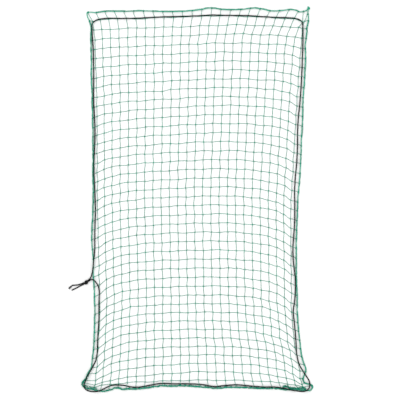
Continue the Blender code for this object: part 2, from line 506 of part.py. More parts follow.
def build():
    clear_scene()
    materials = make_materials()

    borders = {
        "left": smooth_route(BORDER_LEFT, 1),
        "right": smooth_route(BORDER_RIGHT, 1),
        "top": smooth_route(BORDER_TOP, 1),
        "bottom": smooth_route(BORDER_BOTTOM, 1),
    }
    side_left = smooth_route([(x, y, read_between(ELASTIC_LEFT_HEIGHT, -y))
                              for x, y in ELASTIC_LEFT], 1)
    side_return = smooth_route([(x, y, read_between(ELASTIC_RETURN_HEIGHT, -y))
                                for x, y in ELASTIC_RETURN], 1)
    side_right = smooth_route([(x, y, read_between(ELASTIC_RIGHT_HEIGHT, -y))
                               for x, y in ELASTIC_RIGHT], 1)

    half_gap = FOLD_GAP / 2.0
    limits = {
        "top": (9.0, FOLD_Y[0] + half_gap),
        "upper": (FOLD_Y[0] - half_gap, FOLD_Y[1] + half_gap),
        "lower": (FOLD_Y[1] - half_gap, FOLD_Y[2] + half_gap),
        "bottom": (FOLD_Y[2] - half_gap, -9.0),
    }
    pivot_at = {
        "top": (0.0, FOLD_Y[0], OUTER_AXIS_Z),
        "upper": (0.0, 0.0, 0.0),
        "lower": (0.0, FOLD_Y[1], MIDDLE_AXIS_Z),
        "bottom": (0.0, FOLD_Y[2], OUTER_AXIS_Z),
    }
    root = add_pivot("net_upper_base", pivot_at["upper"])
    pivots = {"upper": root}
    pivots["top"] = add_pivot("fold_top_axis", pivot_at["top"], root)
    pivots["lower"] = add_pivot("fold_middle_axis", pivot_at["lower"], root)
    pivots["bottom"] = add_pivot("fold_bottom_axis", pivot_at["bottom"], pivots["lower"])
    ends_pivot = add_pivot("elastic_pull_axis", KNOT_CENTRE, pivots["lower"])

    def rope(name, path, radius, kind, part):
        pivot = pivot_at[part]
        data = build_rope(name, path, radius, pivot)
        return place(data, name, materials[kind], pivots[part], pivot)

    for part, (top, bottom) in limits.items():
        netting = build_netting("netting_" + part, top, bottom, borders)
        place(netting, "netting_" + part, materials["net_twine"], pivots[part], pivot_at[part])
        for side in ("left", "right"):
            stretch = between_folds(borders[side], top, bottom)
            rope("border_" + side + "_" + part, stretch, BORDER_RADIUS, "border_rope", part)
        stretch = between_folds(side_right, top, bottom)
        rope("elastic_right_" + part, stretch, ELASTIC_RADIUS, "elastic_cord", part)
        if part != "bottom":
            stretch = between_folds(side_left, top, bottom)
            rope("elastic_left_" + part, stretch, ELASTIC_RADIUS, "elastic_cord", part)

    rope("elastic_return_lower", between_folds(side_return, 0.0, limits["lower"][1]),
         ELASTIC_RADIUS, "elastic_cord", "lower")
    rope("elastic_left_bottom", between_folds(side_return, limits["bottom"][0], -9.0),
         ELASTIC_RADIUS, "elastic_cord", "bottom")
    rope("border_top", borders["top"], BORDER_RADIUS, "border_rope", "top")
    rope("border_bottom", borders["bottom"], BORDER_RADIUS, "border_rope", "bottom")
    edge_top = smooth_route([(x, y, ELASTIC_Z) for x, y in ELASTIC_TOP], 1)
    rope("elastic_top", edge_top, ELASTIC_RADIUS, "elastic_cord", "top")
    edge_bottom = smooth_route([(x, y, read_between(ELASTIC_BOTTOM_HEIGHT, x))
                                for x, y in ELASTIC_BOTTOM], 1)
    rope("elastic_bottom", edge_bottom, ELASTIC_RADIUS, "elastic_cord", "bottom")
    rope("elastic_leg_upper", smooth_route(ELASTIC_LEG_UPPER, 1), ELASTIC_RADIUS,
         "elastic_cord", "lower")
    rope("elastic_leg_lower", smooth_route(ELASTIC_LEG_LOWER, 1), ELASTIC_RADIUS,
         "elastic_cord", "lower")

    border_knot = build_lump("border_knot",
                             wrapped_profile(BORDER_KNOT_LENGTH, BORDER_KNOT_RADIUS, 2),
                             BORDER_KNOT_CENTRE, (0.25, 1.0), 0.72)
    place(border_knot, "border_knot", materials["border_rope"], pivots["top"], pivot_at["top"])

    knot = build_lump("elastic_knot", wrapped_profile(KNOT_LENGTH, KNOT_RADIUS, 2),
                      KNOT_CENTRE, (-0.877, -0.480), KNOT_FLATTENING)
    place(knot, "elastic_knot", materials["elastic_cord"], ends_pivot, KNOT_CENTRE)
    for name, route in (("elastic_tail_upper", TAIL_UPPER), ("elastic_tail_lower", TAIL_LOWER)):
        path = smooth_route([(x, y, TAIL_Z) for x, y in route], 2)
        data = build_rope(name, path, ELASTIC_RADIUS, KNOT_CENTRE)
        place(data, name, materials["elastic_cord"], ends_pivot, KNOT_CENTRE)
    half = SLEEVE_LENGTH / 2.0
    size = math.hypot(SLEEVE_HEADING[0], SLEEVE_HEADING[1])
    middle = (SLEEVE_START[0] + SLEEVE_HEADING[0] / size * half,
              SLEEVE_START[1] + SLEEVE_HEADING[1] / size * half,
              SLEEVE_RADIUS)
    sleeve = build_lump("elastic_end_sleeve",
                        ((-half, SLEEVE_RADIUS * 0.92), (-half + 0.0015, SLEEVE_RADIUS),
                         (half - 0.003, SLEEVE_RADIUS), (half, SLEEVE_RADIUS * 0.70)),
                        middle, SLEEVE_HEADING, 1.0, sides=12)
    place(sleeve, "elastic_end_sleeve", materials["end_sleeve"], ends_pivot, KNOT_CENTRE)


build()
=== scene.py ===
from math import cos, dist, exp, floor, hypot, inf, pi, radians, sin, tau

import bpy
import numpy as np
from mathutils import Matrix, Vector


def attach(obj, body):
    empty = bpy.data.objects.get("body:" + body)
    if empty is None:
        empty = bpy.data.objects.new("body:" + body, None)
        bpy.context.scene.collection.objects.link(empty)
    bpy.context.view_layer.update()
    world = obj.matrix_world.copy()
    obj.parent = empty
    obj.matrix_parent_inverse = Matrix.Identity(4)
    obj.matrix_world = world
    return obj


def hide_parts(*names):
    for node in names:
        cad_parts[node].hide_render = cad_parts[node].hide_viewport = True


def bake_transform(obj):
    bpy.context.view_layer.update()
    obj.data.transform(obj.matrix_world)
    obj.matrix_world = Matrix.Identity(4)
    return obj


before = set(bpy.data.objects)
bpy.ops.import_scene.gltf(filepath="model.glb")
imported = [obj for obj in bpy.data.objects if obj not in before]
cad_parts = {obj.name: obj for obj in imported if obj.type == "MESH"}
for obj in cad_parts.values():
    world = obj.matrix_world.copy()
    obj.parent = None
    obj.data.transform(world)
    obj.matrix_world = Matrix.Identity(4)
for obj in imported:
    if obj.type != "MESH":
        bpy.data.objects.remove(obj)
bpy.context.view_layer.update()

# ---- sizes in metres
TWINE_LOBE = 0.00155        # netting twine: radius at its three plies
TWINE_VALLEY = 0.00118      # and between them
TWINE_PITCH = 0.017         # length of one turn of the twist
TWINE_SIDES = 6
STRAND_POINTS = 17
END_STRAND_POINTS = 12      # of a strand that ends at the border rope
STRAND_BOW = 0.0013         # slack of a strand to the side
STRAND_WAVE = 0.0008
REST_Z = 0.0016             # middle of a strand that lies on the ground
KNOT_Z = 0.0030             # middle of a netting knot
ROPE_VALLEY = 0.76          # a rope's radius between two plies, over that at a ply
ROPE_SIDES = 12
CORD_SIDES = 16
BORDER_RADIUS = 0.00275
BORDER_PITCH = 0.024
BORDER_Z = 0.0054           # the twine that is wound round the border rope lies under it
ELASTIC_RADIUS = 0.0032
ELASTIC_REST_Z = ELASTIC_RADIUS + 0.0002
LAST_COLUMN = 25
LAST_ROW = 42
FOLD_Y = (0.60, 0.0, -0.60)
FOLD_KEEP_CLEAR = 0.006     # no knot is nearer to a fold
DOWN_AND_UP = (0.3, -0.3, -0.3, 0.3)  # ropes are parted here, halfway between two folds
UP_AND_DOWN = (-0.3, 0.3, 0.3, -0.3)

# ---- twine wound round the border rope
HITCH_RADIUS = BORDER_RADIUS + 0.00125
HITCH_TURNS = 1.75
HITCH_PITCH = 0.0031
HITCH_START = radians(40)   # up from the side that faces the strand
HITCH_POINTS = 22
HITCH_CLIMB = 0.012         # length in which a strand climbs to its hitch
WOUND_SIZE = 0.9            # this twine is pulled tight, so it is thinner
LOOSE_ENDS = (4, 5)         # points left bare at the start and end of the border rope
BARE_ABOVE = 0.965          # the two top corners are bare too, above this
BARE_PAST = 0.57            # and this far or more from the middle
DOUBLE_BELOW = -0.985       # along the bottom a second twine is wound on
LACING_SIDE = radians(-30)  # up from the outer side
LACING_SWING = radians(48)
LACING_RIPPLE = radians(16)
LACING_SLACK = 0.0007
SECOND_SIDE = radians(170)
SECOND_SLACK = 0.0010
LOWEST_TWINE_Z = 0.0015

# ---- heaps of slack twine
HEAP_STEP = 0.0018          # between two points of a line
HEAP_WAVE = 0.034           # length of a wave, and how much it differs
HEAP_WAVE_RANGE = 0.007
HEAP_TAPER = 0.014
HEAP_Z = 0.0017             # middle of the lowest twine
HEAP_LAYER = 0.0026
HEAP_LAYERS = 4
HEAP_RIPPLE = 0.0012

# ---- the elastic cord where it meets other things
CROSSING_RISE = 0.0032      # how much higher it lies over a strand
CROSSING_FLAT = 0.004       # for this far either way, down again at CROSSING_REACH
CROSSING_REACH = 0.022
SLANTED = 0.5               # sine of the angle below which it always goes over a strand
SLANT_LEAST = 0.25
RAISED_CORD = 0.0055        # from this height it always goes over too
LIFT_GAP = 0.0017           # from its top to the middle of a strand over it
LIFT_FLAT = 0.0035          # that strand is up for this far, down again at LIFT_REACH
LIFT_REACH = 0.015
KNOT_SIZE = 0.0034          # radius of a netting knot, and of wound twine
WOUND_TWINE_SIZE = 0.0013
NEAR_KNOT = 0.012           # its two ends are raised in this length
NEAR_KNOT_Z = 0.0068

# ---- the net as it lies, as in the CAD part: (row, value) pairs
ROW_CENTRE_Y = (
    (0, 1.048), (1, 0.994), (2, 0.953), (11, 0.511), (22, -0.035), (32, -0.529), (42, -0.998),
    (43, -1.03))
LEFT_FIRST_X = (
    (0, -0.601), (1, -0.579), (2, -0.571), (3, -0.565), (10, -0.554), (21, -0.551), (32, -0.538),
    (36, -0.548), (40, -0.562), (41, -0.565), (42, -0.57), (43, -0.583))
RIGHT_LAST_X = (
    (0, 0.592), (1, 0.59), (2, 0.579), (3, 0.574), (10, 0.547), (21, 0.514), (32, 0.519),
    (36, 0.537), (38, 0.559), (40, 0.568), (42, 0.583), (43, 0.597))
LEFT_DROOP = (
    (0, 0.0), (1, 0.003), (2, 0.008), (5, 0.012), (11, 0.027), (20, 0.052), (32, 0.09),
    (38, 0.098), (39, 0.08), (40, 0.068), (41, 0.038), (42, 0.024), (43, 0.02))
LEFT_SLOPE = (
    (0, 0.0), (1, 0.012), (5, 0.019), (11, 0.028), (20, 0.019), (32, 0.009), (35, 0.01),
    (38, 0.017), (40, 0.029), (41, 0.039), (42, 0.016), (43, 0.006))
RIGHT_DROOP = (
    (0, 0.0), (1, 0.011), (3, 0.018), (11, 0.05), (22, 0.072), (32, 0.094), (36, 0.1), (38, 0.098),
    (40, 0.084), (41, 0.072), (42, 0.04), (43, 0.026))
SIDE_STRAND_DROP = (
    (1, 0.0), (3, 0.004), (11, 0.01), (32, 0.014), (38, 0.008), (40, 0.001), (41, -0.011),
    (42, -0.005))
MIDDLE_RISE = (
    (0, 0.0), (1, 0.008), (3, 0.008), (5, 0.006), (11, 0.007), (22, 0.005), (32, 0.003), (43, 0.0))
RIGHT_DROOP_COLUMNS = ((0, 1.2), (8, 1.5), (20, 2.4), (28, 2.5), (36, 3.0))
TOP_LEAN = ((0, 0.061), (1, 0.033), (2, 0.022), (3, 0.007), (4, 0.0))
LEFT_DROOP_COLUMNS = 2.4    # columns in which a droop fades to a third
LEFT_SLOPE_COLUMNS = 12.0
RISE_COLUMN = 17.0
RISE_COLUMNS = 3.5
EDGE_TAPER = 0.16           # the outermost column is so much narrower
EDGE_TAPER_COLUMNS = 1.5
TOP_LAST_X = 0.586
CORNER_STRAND_Y = 1.018
UNEVEN = 0.0022             # each knot is off its place by up to this
FIRST_ROW_BELOW = 0.003     # from the middle of the elastic cord down to row 1


# ---- rope routes, as in the CAD part, seen from above, in tenths of a millimetre
def metres(*points):
    return tuple((x / 10000, y / 10000) for x, y in points)


def evenly(top, bottom, across):
    """Points down one side at even heights."""
    step = (bottom - top) / (len(across) - 1)
    return [(x, round(top + k * step)) for k, x in enumerate(across)]


BORDER_LEFT = metres(
    (-6080, 10285), (-6070, 10090), (-5930, 9770), (-5860, 9550), *evenly(9000, -4200, (-5868,
    -5863, -5845, -5850, -5837, -5810, -5793, -5776, -5763, -5758, -5754, -5752, -5752, -5750,
    -5744, -5736, -5754, -5781, -5807, -5818, -5766, -5736, -5738)), (-5710, -4500),
    (-5670, -5400), (-5650, -6120), (-5670, -7200), (-5720, -8300), (-5800, -8900), (-5890, -9400),
    (-6030, -9600), (-6110, -9860), (-6265, -10030))
BORDER_RIGHT = metres(
    (6098, 10384), (6095, 10228), (6128, 10030), (6125, 9858), (6084, 9693), (6034, 9500),
    (6030, 9224), (5995, 9003), (5995, 8837), (5950, 8589), (5945, 8340),
    *evenly(7985.7, -7800, (5964, 5936, 5909, 5874, 5822, 5805, 5793, 5759, 5723, 5707, 5682, 5648,
    5597, 5545, 5512, 5491, 5466, 5449, 5443, 5442, 5448, 5467, 5492, 5493, 5518, 5565, 5638)),
    (5750, -8700), (5830, -9000), (5965, -9350), (5965, -9550), (5870, -9760), (5807, -9930),
    (5826, -10015))
BORDER_TOP = metres(
    (-6095, 10350), (-5850, 10305), (-5600, 10285), (-5100, 10350), (-4270, 10355), (-3000, 10380),
    (-1350, 10335), (-410, 10380), (140, 10445), (640, 10535), (1520, 10445), (2350, 10455),
    (3210, 10530), (3620, 10470), (4000, 10385), (4560, 10390), (5110, 10450), (5390, 10425),
    (5660, 10320), (5900, 10360), (6028, 10400))
BORDER_BOTTOM = metres(
    (-6269, -10036), (-6350, -10150), (-6355, -10240), (-6240, -10360), (-6040, -10440),
    (-5760, -10490), (-5540, -10560), (-5160, -10585), (-4830, -10530), (-4600, -10440),
    (-4330, -10425), (-4110, -10490), (-3780, -10455), (-3450, -10475), (-2890, -10420),
    (-2340, -10340), (-1790, -10290), (-1400, -10320), (-960, -10290), (-410, -10310),
    (420, -10370), (970, -10430), (1690, -10380), (2350, -10385), (2900, -10410), (3730, -10440),
    (4390, -10450), (4700, -10490), (4950, -10510), (5220, -10500), (5550, -10495), (5850, -10520),
    (6085, -10560), (6225, -10530), (6320, -10445), (6354, -10345), (6290, -10260), (6150, -10222),
    (5980, -10175), (5870, -10093))
ELASTIC_TOP = metres(
    (-5632, 9828), (-5560, 9870), (-5270, 9940), (-4940, 9970), (-4270, 9960), (-3450, 9970),
    (-2620, 10010), (-1790, 10050), (-970, 10070), (140, 10110), (800, 10150), (1520, 10130),
    (2900, 10110), (3570, 10060), (4280, 10020), (4940, 10000), (5390, 9960), (5660, 9870),
    (5755, 9780))
ELASTIC_LEFT = metres(
    (-5640, 9822), (-5770, 9720), *evenly(9300, -2900, (-5805, -5775, -5734, -5727, -5718, -5720,
    -5726, -5703, -5672, -5651, -5654, -5682, -5702, -5698, -5670, -5646, -5627, -5635, -5657,
    -5658, -5669)), (-5700, -3250), (-5735, -3600), (-5755, -3830), (-5778, -4000))
ELASTIC_LEG_UPPER = metres(
    (-5782, -4013), (-5836, -4190), (-5887, -4330), (-5935, -4400), (-5985, -4440), (-6035, -4475))
ELASTIC_LEG_LOWER = metres(
    (-6010, -4535), (-5957, -4497), (-5905, -4465), (-5830, -4440), (-5735, -4443), (-5652, -4510),
    (-5550, -4655), (-5465, -4808), (-5420, -4985))
ELASTIC_RETURN = metres(
    (-5418, -5000), (-5408, -5250), (-5425, -5600), (-5430, -6000), (-5430, -6700), (-5480, -7400),
    (-5510, -8100), (-5545, -8650), (-5605, -8900), (-5710, -9130), (-5840, -9380), (-5960, -9580),
    (-6070, -9780), (-6125, -9925), (-6163, -10030))
ELASTIC_RIGHT = metres(
    (5765, 9765), (5797, 9650), (5820, 9350), *evenly(9000, -8600, (5824, 5810, 5791, 5769, 5740,
    5704, 5657, 5596, 5544, 5525, 5522, 5496, 5453, 5394, 5364, 5366, 5371, 5359, 5321, 5277, 5273,
    5325, 5392, 5405, 5367, 5293, 5341, 5403, 5444, 5483)), (5630, -9150), (5820, -9480),
    (6030, -9800), (6165, -10030))
ELASTIC_BOTTOM = metres(
    (-6168, -10039), (-6225, -10180), (-6240, -10300), (-6185, -10450), (-6055, -10565),
    (-5870, -10611), (-5600, -10605), (-5400, -10560), (-5200, -10480), (-5000, -10385),
    (-4800, -10300), (-4600, -10260), (-4380, -10255), (-4000, -10285), (-3720, -10350),
    (-3170, -10360), (-2620, -10265), (-2230, -10190), (-1790, -10165), (-1350, -10185),
    (-400, -10190), (420, -10250), (970, -10340), (1500, -10285), (2131, -10245), (2573, -10270),
    (2900, -10305), (3570, -10355), (4390, -10370), (4830, -10440), (5220, -10525), (5450, -10575),
    (5680, -10605), (5900, -10585), (6060, -10515), (6155, -10420), (6190, -10330), (6203, -10220),
    (6170, -10043))
TAIL_Z = ELASTIC_RADIUS
TAIL_UPPER = metres(
    (-6245, -4610), (-6340, -4650), (-6450, -4690), (-6570, -4725), (-6700, -4743), (-6820, -4752),
    (-6905, -4768), (-6959, -4815))
TAIL_LOWER = metres(
    (-6230, -4675), (-6310, -4720), (-6410, -4760), (-6520, -4820), (-6640, -4890), (-6780, -4955),
    (-6930, -5030))
SLEEVE_START = (-0.6963, -0.48195)
SLEEVE_HEADING = (-0.72, -0.694)
SLEEVE_RADIUS = 0.0047
SLEEVE_SIDES = 24
# along the sleeve, and its radius there over SLEEVE_RADIUS
SLEEVE_PROFILE = (
    (0.0, 0.8), (0.0004, 0.96), (0.0012, 1.0), (0.0048, 1.0), (0.0055, 0.87), (0.0065, 0.87),
    (0.0072, 1.0), (0.0105, 1.0), (0.0112, 0.87), (0.0122, 0.87), (0.0129, 1.0), (0.0158, 1.0),
    (0.0172, 0.93), (0.018, 0.72))
KNOT_CENTRE = (-0.6128, -0.4590, 0.0068)
KNOT_HEADING = (-0.877, -0.480)
COIL_Z = 0.0078             # middle of the turns round the knot
BORDER_KNOT_CENTRE = (0.6125, 1.0514, 0.0062)

# slack netting heaped at the low corners: route, spread to each side, strands
GATHERED = (
    (((0.468, -1.048), (0.477, -1.033), (0.491, -1.033), (0.506, -1.039), (0.533, -1.044),
      (0.561, -1.044), (0.588, -1.042), (0.602, -1.054)), 0.0065, 6),
    (((-0.633, -1.028), (-0.62, -1.031), (-0.606, -1.04), (-0.582, -1.042), (-0.562, -1.044),
      (-0.548, -1.056)), 0.008, 4),
    (((-0.601, -0.956), (-0.608, -0.98), (-0.623, -1.002), (-0.631, -1.018)), 0.0075, 4),
    (((0.5965, -0.95), (0.588, -0.976), (0.5825, -0.995), (0.59, -1.01), (0.612, -1.021)),
     0.004, 2),
    (tuple((x, y + 0.002) for x, y in BORDER_BOTTOM[7:-9]), 0.004, 2),
)


# ---- camera
def make_camera():
    """Straight above the net, as in the photo."""
    frame_width = 2.208
    data = bpy.data.cameras.new("camera")
    data.lens = 85.0
    data.sensor_width = 36.0
    data.clip_start = 0.05
    data.clip_end = 60.0
    camera = bpy.data.objects.new("camera", data)
    camera.location = (0.0144, -0.0050, frame_width * data.lens / data.sensor_width)
    bpy.context.scene.collection.objects.link(camera)
    bpy.context.scene.camera = camera


make_camera()


# ---- materials
class Look:
    """A material with a Principled shader, and short ways to lay nodes before it."""

    def __init__(self, name):
        self.material = bpy.data.materials.new(name)
        self.material.use_nodes = True
        self.nodes = self.material.node_tree.nodes
        self.shader = self.nodes["Principled BSDF"]

    def feed(self, socket, value):
        if isinstance(value, bpy.types.NodeSocket):
            self.material.node_tree.links.new(value, socket)
        else:
            socket.default_value = value

    def put(self, name, value):
        self.feed(self.shader.inputs[name], value)

    def math(self, operation, *values):
        node = self.nodes.new("ShaderNodeMath")
        node.operation = operation
        for socket, value in zip(node.inputs, values):
            self.feed(socket, value)
        return node.outputs[0]

    def total(self, *terms):
        """The sum of values that each come with a weight."""
        parts = [value if weight == 1.0 else self.math("MULTIPLY", value, weight)
                 for value, weight in terms]
        out = parts[0]
        for part in parts[1:]:
            out = self.math("ADD", out, part)
        return out

    def noise(self, scale, detail):
        node = self.nodes.new("ShaderNodeTexNoise")
        self.feed(node.inputs["Scale"], scale)
        self.feed(node.inputs["Detail"], detail)
        place = self.nodes.new("ShaderNodeTexCoord")
        self.feed(node.inputs["Vector"], place.outputs["Object"])
        return node.outputs["Fac"]

    def stripes(self, around, along):
        """A wave over a rope's UV map: around in waves per turn, along in waves per metre."""
        uv = self.nodes.new("ShaderNodeUVMap")
        uv.uv_map = "rope"
        split = self.nodes.new("ShaderNodeSeparateXYZ")
        self.feed(split.inputs["Vector"], uv.outputs["UV"])
        return self.math("SINE", self.total((split.outputs["X"], tau * around),
                                            (split.outputs["Y"], tau * along)))

    def ramp(self, source, *stops):
        node = self.nodes.new("ShaderNodeValToRGB")
        elements = node.color_ramp.elements
        while len(elements) < len(stops):
            elements.new(0.5)
        for element, (place, colour) in zip(elements, stops):
            element.position = place
            element.color = (*colour, 1.0)
        self.feed(node.inputs["Fac"], source)
        return node.outputs["Color"]

    def bump(self, height, strength, distance):
        node = self.nodes.new("ShaderNodeBump")
        self.feed(node.inputs["Strength"], strength)
        self.feed(node.inputs["Distance"], distance)
        self.feed(node.inputs["Height"], height)
        return node.outputs["Normal"]


def twisted_rope_material(name, dark, middle, light, fibre_turn):
    """Polypropylene film yarn: dull green with paler worn fibres that follow the twist."""
    look = Look(name)
    patches = look.noise(9.0, 2.0)
    fine = look.noise(900.0, 2.0)
    fibres = look.stripes(fibre_turn, 330.0)
    mixed = look.total((patches, 0.45), (fine, 0.45), (fibres, 0.10))
    look.put("Base Color", look.ramp(mixed, (0.25, dark), (0.50, middle), (0.78, light)))
    look.put("Roughness", look.total((fine, 0.25), (0.42, 1.0)))
    look.put("Normal", look.bump(look.total((fibres, 0.6), (fine, 1.0)), 0.55, 0.0002))
    look.put("Specular IOR Level", 0.30)
    return look.material


def braided_cord_material(name):
    """Black braid over a rubber core: two sets of yarns that cross in small diamonds."""
    look = Look(name)
    yarns = look.math("MAXIMUM", look.stripes(8.0, 190.0), look.stripes(8.0, -190.0))
    dust = look.noise(700.0, 2.0)
    worn = look.noise(14.0, 3.0)
    mixed = look.total((dust, 0.35), (worn, 0.35), (yarns, 0.18))
    look.put("Base Color", look.ramp(mixed, (0.20, (0.0018, 0.0018, 0.0020)),
                                     (0.50, (0.0042, 0.0042, 0.0046)),
                                     (0.85, (0.0150, 0.0150, 0.0160))))
    look.put("Roughness", look.total((dust, 0.2), (0.66, 1.0)))
    look.put("Normal", look.bump(look.total((yarns, 1.0), (dust, 0.3)), 0.7, 0.00025))
    look.put("Specular IOR Level", 0.22)
    return look.material


def sleeve_material(name):
    """Matte black plastic, a little scuffed."""
    look = Look(name)
    marks = look.noise(60.0, 4.0)
    look.put("Base Color", look.ramp(marks, (0.30, (0.010, 0.010, 0.011)),
                                     (0.75, (0.030, 0.030, 0.032))))
    look.put("Roughness", look.total((marks, 0.25), (0.32, 1.0)))
    look.put("Normal", look.bump(look.noise(1400.0, 2.0), 0.25, 0.0001))
    return look.material


TWINE = twisted_rope_material("net_twine_look", (0.002, 0.200, 0.115), (0.004, 0.330, 0.205),
                              (0.035, 0.480, 0.330), 3.0)
ROPE = twisted_rope_material("border_rope_look", (0.010, 0.240, 0.140), (0.030, 0.400, 0.250),
                             (0.080, 0.580, 0.400), 6.0)
BRAID = braided_cord_material("elastic_cord_look")
SLEEVE = sleeve_material("end_sleeve_look")


# ---- curves
def read_between(pairs, t):
    """The value at t, in a straight line between the two pairs on either side."""
    if t <= pairs[0][0]:
        return pairs[0][1]
    for (t0, a), (t1, b) in zip(pairs, pairs[1:]):
        if t <= t1:
            return a + (b - a) * (t - t0) / (t1 - t0)
    return pairs[-1][1]


def jitter(u, v, k):
    """A fixed number from -1 to 1 for a place in the net."""
    value = sin(12.9898 * u + 78.233 * v + 37.719 * k) * 43758.5453
    return 2.0 * (value - floor(value)) - 1.0


def unit(vector):
    return np.array(vector) / np.linalg.norm(vector)


def unit_rows(vectors):
    return vectors / np.linalg.norm(vectors, axis=1)[:, None]


def eased(t):
    """From 0 to 1 with level ends."""
    return t * t * (3.0 - 2.0 * t)


def raised(distance, flat, reach):
    """1 within flat of a place, falling smoothly to 0 at reach."""
    return 1.0 - eased(np.clip((np.abs(distance) - flat) / (reach - flat), 0.0, 1.0))


def smoothed(values, width):
    kernel = np.exp(-np.linspace(-2.0, 2.0, 2 * width + 1) ** 2)
    kernel /= kernel.sum()
    return np.convolve(np.pad(values, width, mode="edge"), kernel, mode="valid")


def arc_length(path):
    """How far along a path each of its points lies."""
    return np.concatenate(([0.0], np.cumsum(np.linalg.norm(np.diff(path, axis=0), axis=1))))


def even_curve(points, spacing):
    """A smooth curve through points, read at even steps, and how far along each lies."""
    p = np.array(points, float)
    chord = np.linalg.norm(np.diff(p, axis=0), axis=1)
    slope = np.diff(p, axis=0) / chord[:, None]
    tangent = np.empty_like(p)
    tangent[0] = slope[0]
    tangent[-1] = slope[-1]
    before = chord[:-1, None]
    after = chord[1:, None]
    tangent[1:-1] = (slope[:-1] * after + slope[1:] * before) / (before + after)
    dense = [p[:1]]
    t = np.linspace(0.0, 1.0, 24)[1:, None]
    for i, length in enumerate(chord):
        dense.append((2 * t ** 3 - 3 * t ** 2 + 1) * p[i]
                     + (t ** 3 - 2 * t ** 2 + t) * length * tangent[i]
                     + (3 * t ** 2 - 2 * t ** 3) * p[i + 1]
                     + (t ** 3 - t ** 2) * length * tangent[i + 1])
    dense = np.concatenate(dense)
    reach = arc_length(dense)
    count = max(3, int(round(reach[-1] / spacing)) + 1)
    wanted = np.linspace(0.0, reach[-1], count)
    even = np.stack([np.interp(wanted, reach, dense[:, k]) for k in range(p.shape[1])], axis=1)
    return even, wanted


def joined(routes, least=0.007):
    """One list of points from routes laid end to end, without doubled points."""
    out = [routes[0][0]]
    for route in routes:
        for point in route:
            if dist(out[-1][:2], point[:2]) >= least:
                out.append(point)
    return out


def nearest(path, point):
    """Index of a path's nearest point, seen from above."""
    return int(np.argmin(np.linalg.norm(path[:, :2] - point, axis=1)))


def crossings(path, axis, value):
    """Index before each place where a path passes a value of x (axis 0) or y (axis 1)."""
    side = path[:, axis] - value
    return np.nonzero(side[:-1] * side[1:] <= 0.0)[0]


def first_at(path, axis, value):
    """Index of the first such place, or of the nearest point when there is none."""
    found = crossings(path, axis, value)
    return int(found[0]) if len(found) else int(np.argmin(np.abs(path[:, axis] - value)))


def cuts_at(path, start, heights):
    """Indices at which a path has passed the heights in turn, from start on."""
    cuts = []
    for y in heights:
        start += int(crossings(path[start:], 1, y)[0]) + 1
        cuts.append(start)
    return cuts


# ---- meshes
def frames_along(path):
    """Two unit vectors across a path at each point, carried along it without twist."""
    tangent = unit_rows(np.gradient(path, axis=0))
    across = np.empty_like(path)
    start = np.array((0.0, 0.0, 1.0))
    if abs(tangent[0] @ start) > 0.9:
        start = np.array((1.0, 0.0, 0.0))
    for i, ahead in enumerate(tangent):
        start = unit(start - ahead * (start @ ahead))
        across[i] = start
    return across, np.cross(tangent, across)


class Soup:
    """Vertices, faces and UVs of many tubes, gathered into one mesh."""

    def __init__(self):
        self.points = []
        self.quads = []
        self.uvs = []
        self.caps = []
        self.count = 0

    def add_rings(self, rings, along, closed=False, caps=True):
        """rings is (rings, sides, 3); along is how far along each ring lies, in metres."""
        n, sides, _ = rings.shape
        index = self.count + np.arange(n * sides).reshape(n, sides)
        here = index if closed else index[:-1]
        there = np.roll(index, -1, axis=0) if closed else index[1:]
        quads = np.stack((here, np.roll(here, -1, axis=1), np.roll(there, -1, axis=1), there),
                         axis=-1).reshape(-1, 4)
        if closed:
            along = np.append(along, along[-1] + (along[1] - along[0]))
        u0, v0 = np.broadcast_arrays(np.arange(sides) / sides, along[:-1, None])
        u1, v1 = np.broadcast_arrays(u0 + 1.0 / sides, along[1:, None])
        self.uvs.append(np.stack((u0, v0, u1, v0, u1, v1, u0, v1), axis=-1).reshape(-1, 2))
        self.points.append(rings.reshape(-1, 3))
        self.quads.append(quads)
        if caps and not closed:
            self.caps += [index[0][::-1].tolist(), index[-1].tolist()]
        self.count += n * sides

    def build(self, name, material):
        points = np.concatenate(self.points)
        quads = np.concatenate(self.quads)
        corners = quads.ravel().tolist()
        for cap in self.caps:
            corners.extend(cap)
        sizes = [4] * len(quads) + [len(cap) for cap in self.caps]
        cap_loops = len(corners) - quads.size
        mesh = bpy.data.meshes.new(name)
        mesh.vertices.add(len(points))
        mesh.vertices.foreach_set("co", points.astype(np.float32).ravel())
        mesh.loops.add(len(corners))
        mesh.loops.foreach_set("vertex_index", corners)
        starts = np.concatenate(([0], np.cumsum(sizes)[:-1]))
        mesh.polygons.add(len(sizes))
        mesh.polygons.foreach_set("loop_start", starts.astype(np.int32))
        mesh.polygons.foreach_set("use_smooth", [True] * len(quads) + [False] * len(self.caps))
        layer = mesh.uv_layers.new(name="rope")
        flat = np.concatenate(self.uvs + [np.zeros((cap_loops, 2))]).astype(np.float32)
        layer.data.foreach_set("uv", flat.ravel())
        mesh.update(calc_edges=True)
        mesh.validate()
        mesh.materials.append(material)
        obj = bpy.data.objects.new(name, mesh)
        bpy.context.scene.collection.objects.link(obj)
        return obj


def tube_rings(path, radii, twist=None):
    """Rings round a path. radii is (sides,) or (rings, sides); twist turns each ring."""
    across, up = frames_along(path)
    radii = np.broadcast_to(radii, (len(path), np.shape(radii)[-1]))
    sides = radii.shape[1]
    angle = tau * np.arange(sides) / sides
    angle = angle[None, :] + (0.0 if twist is None else twist[:, None])
    return (path[:, None, :] + radii[:, :, None] * (np.cos(angle)[:, :, None] * across[:, None, :]
                                                    + np.sin(angle)[:, :, None] * up[:, None, :]))


def three_ply(lobe, valley, sides):
    """Radii round a rope of three plies."""
    angle = tau * np.arange(sides) / sides
    return valley + (lobe - valley) * (0.5 + 0.5 * np.cos(3.0 * angle)) ** 0.7


